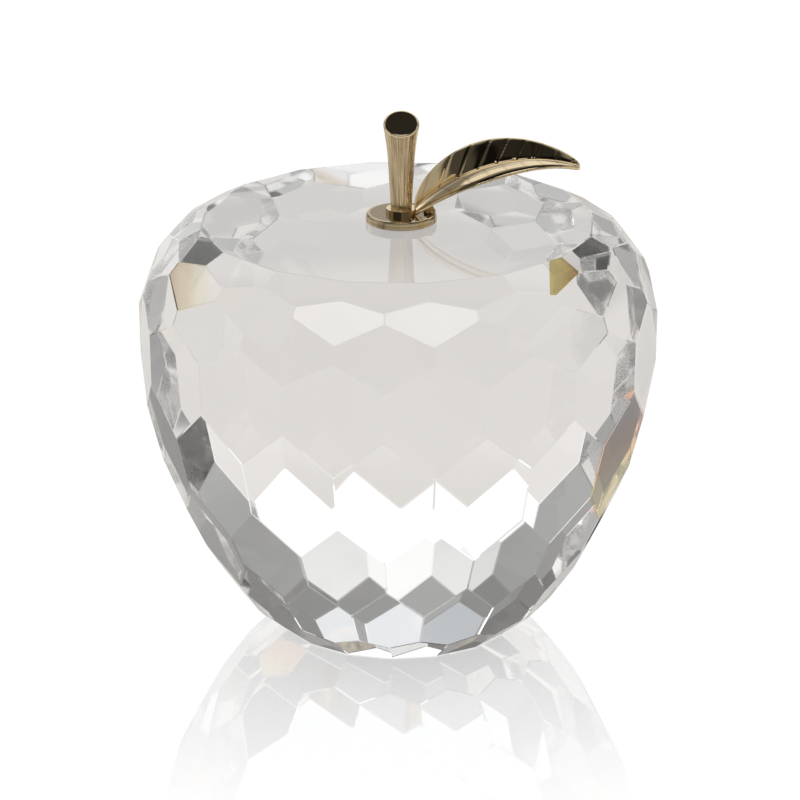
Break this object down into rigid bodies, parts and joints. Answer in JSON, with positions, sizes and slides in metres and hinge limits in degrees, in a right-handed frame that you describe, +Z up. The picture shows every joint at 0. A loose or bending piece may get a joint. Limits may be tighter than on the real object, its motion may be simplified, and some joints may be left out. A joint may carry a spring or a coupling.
{
  "type": "crystal apple paperweight",
  "caption": "Apple-shaped paperweight of solid clear crystal, ground all over in hexagonal flats, with a flat polished top and a gilt metal stem and leaf.",
  "frame": {"origin": "centre of the flat base that the apple stands on", "axes": "+Z up along the turned axis of the crystal, +X the way the leaf points, -Y towards the viewer of the picture"},
  "size_m": [0.0799, 0.0799, 0.0818],
  "materials": {
    "crystal": "clear, polished flats",
    "clear_glue": "clear, cured",
    "gilt_metal": "gold plated, polished",
    "gilt_solder": "gold plated, slightly lumpy"
  },
  "bodies": {
    "root": {"crystal_body": "crystal", "glue_film": "clear_glue", "stem_flange": "gilt_metal", "leaf": "gilt_metal", "stem": "gilt_metal", "leaf_solder": "gilt_solder"}
  },
  "joints": []
}
